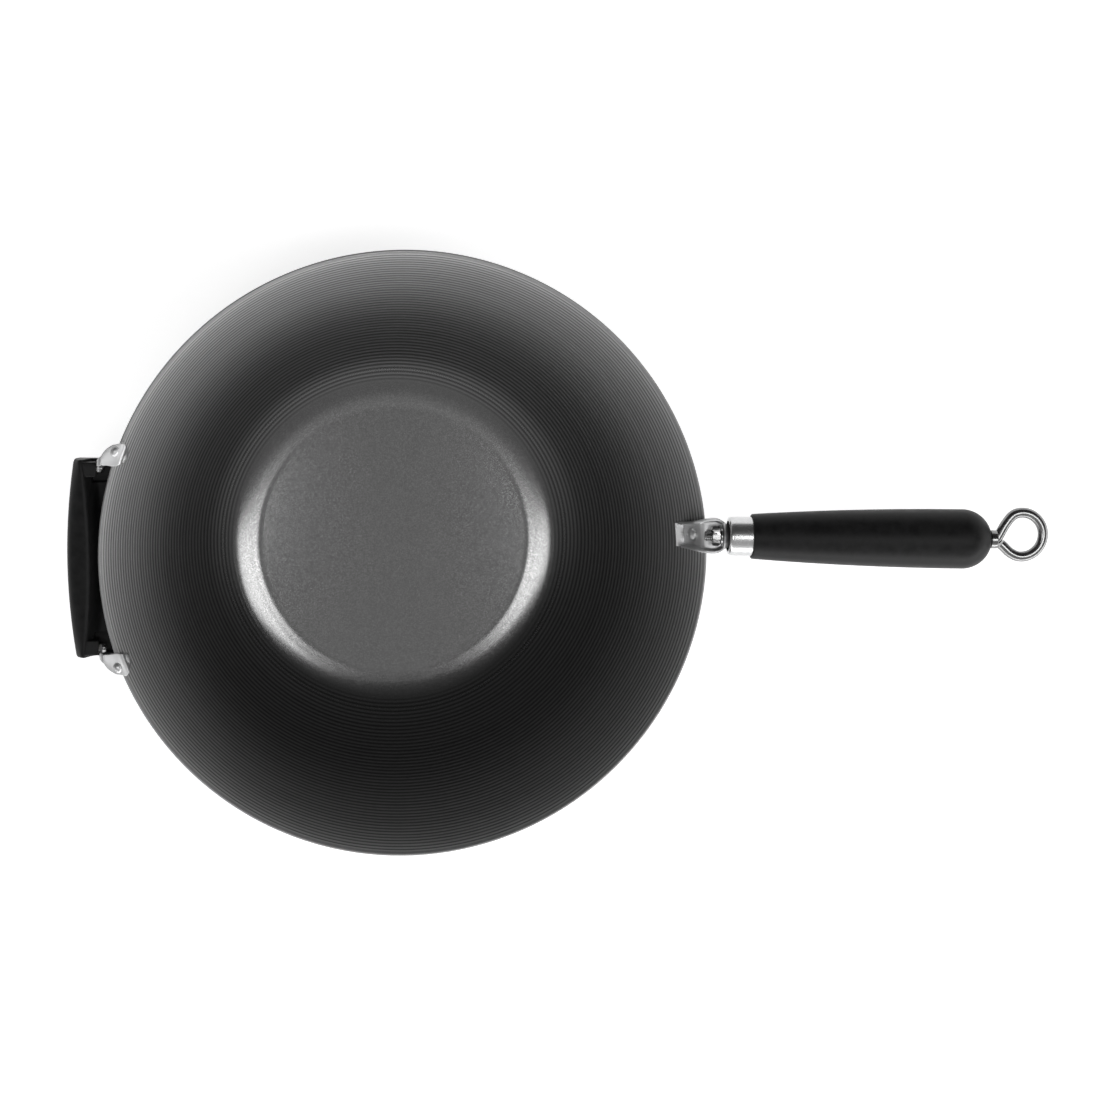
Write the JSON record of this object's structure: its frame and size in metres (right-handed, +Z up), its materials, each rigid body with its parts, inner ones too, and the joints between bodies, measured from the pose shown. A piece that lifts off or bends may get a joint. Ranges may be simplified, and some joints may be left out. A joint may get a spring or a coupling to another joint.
{
  "type": "flat-bottom wok",
  "caption": "Round flat-bottom wok of dark coated sheet metal with a flared wall, a long phenolic stick handle with a hanging eye, and a small helper handle opposite.",
  "frame": {"origin": "centre of the underside of the flat base", "axes": "+X from the pan's centre towards the stick handle, +Z up, +Y to the left of someone who looks along +X"},
  "size_m": [0.5774, 0.3556, 0.1274],
  "materials": {
    "coating": "dark grey non-stick coating with fine turned rings and a metallic fleck",
    "chrome": "bright plated",
    "steel": "bright drawn",
    "phenolic": "satin black moulding",
    "brass": "turned"
  },
  "bodies": {
    "wok": {"pan": "coating", "stick_bracket": "chrome", "ferrule": "chrome", "helper_bracket_left": "chrome", "helper_bracket_right": "chrome", "stick_rivet": "steel", "rod_nut": "steel", "rod_washer": "steel", "helper_rivet_left": "steel", "helper_rivet_right": "steel", "helper_screw_left": "steel", "helper_screw_right": "steel", "stick_grip": "phenolic", "helper_grip": "phenolic", "helper_insert_left": "brass", "helper_insert_right": "brass"},
    "collar": {"eye_collar": "chrome"},
    "eye": {"eye_bolt": "steel"}
  },
  "joints": [
    {"name": "collar_slide", "type": "slide", "parent": "wok", "child": "collar", "axis": [0.9992, -0.0201, 0.0349], "range_m": [0, 0.008]},
    {"name": "eye_turn", "type": "hinge", "parent": "collar", "child": "eye", "pos_m": [0.1778, 0.0106, 0.1045], "axis": [0.9992, -0.0201, 0.0349], "range_deg": [0, 2881]}
  ],
  "couplings": [
    {"joint": "eye_turn", "follows": "collar_slide", "rad_per_m": 6283.2}
  ]
}
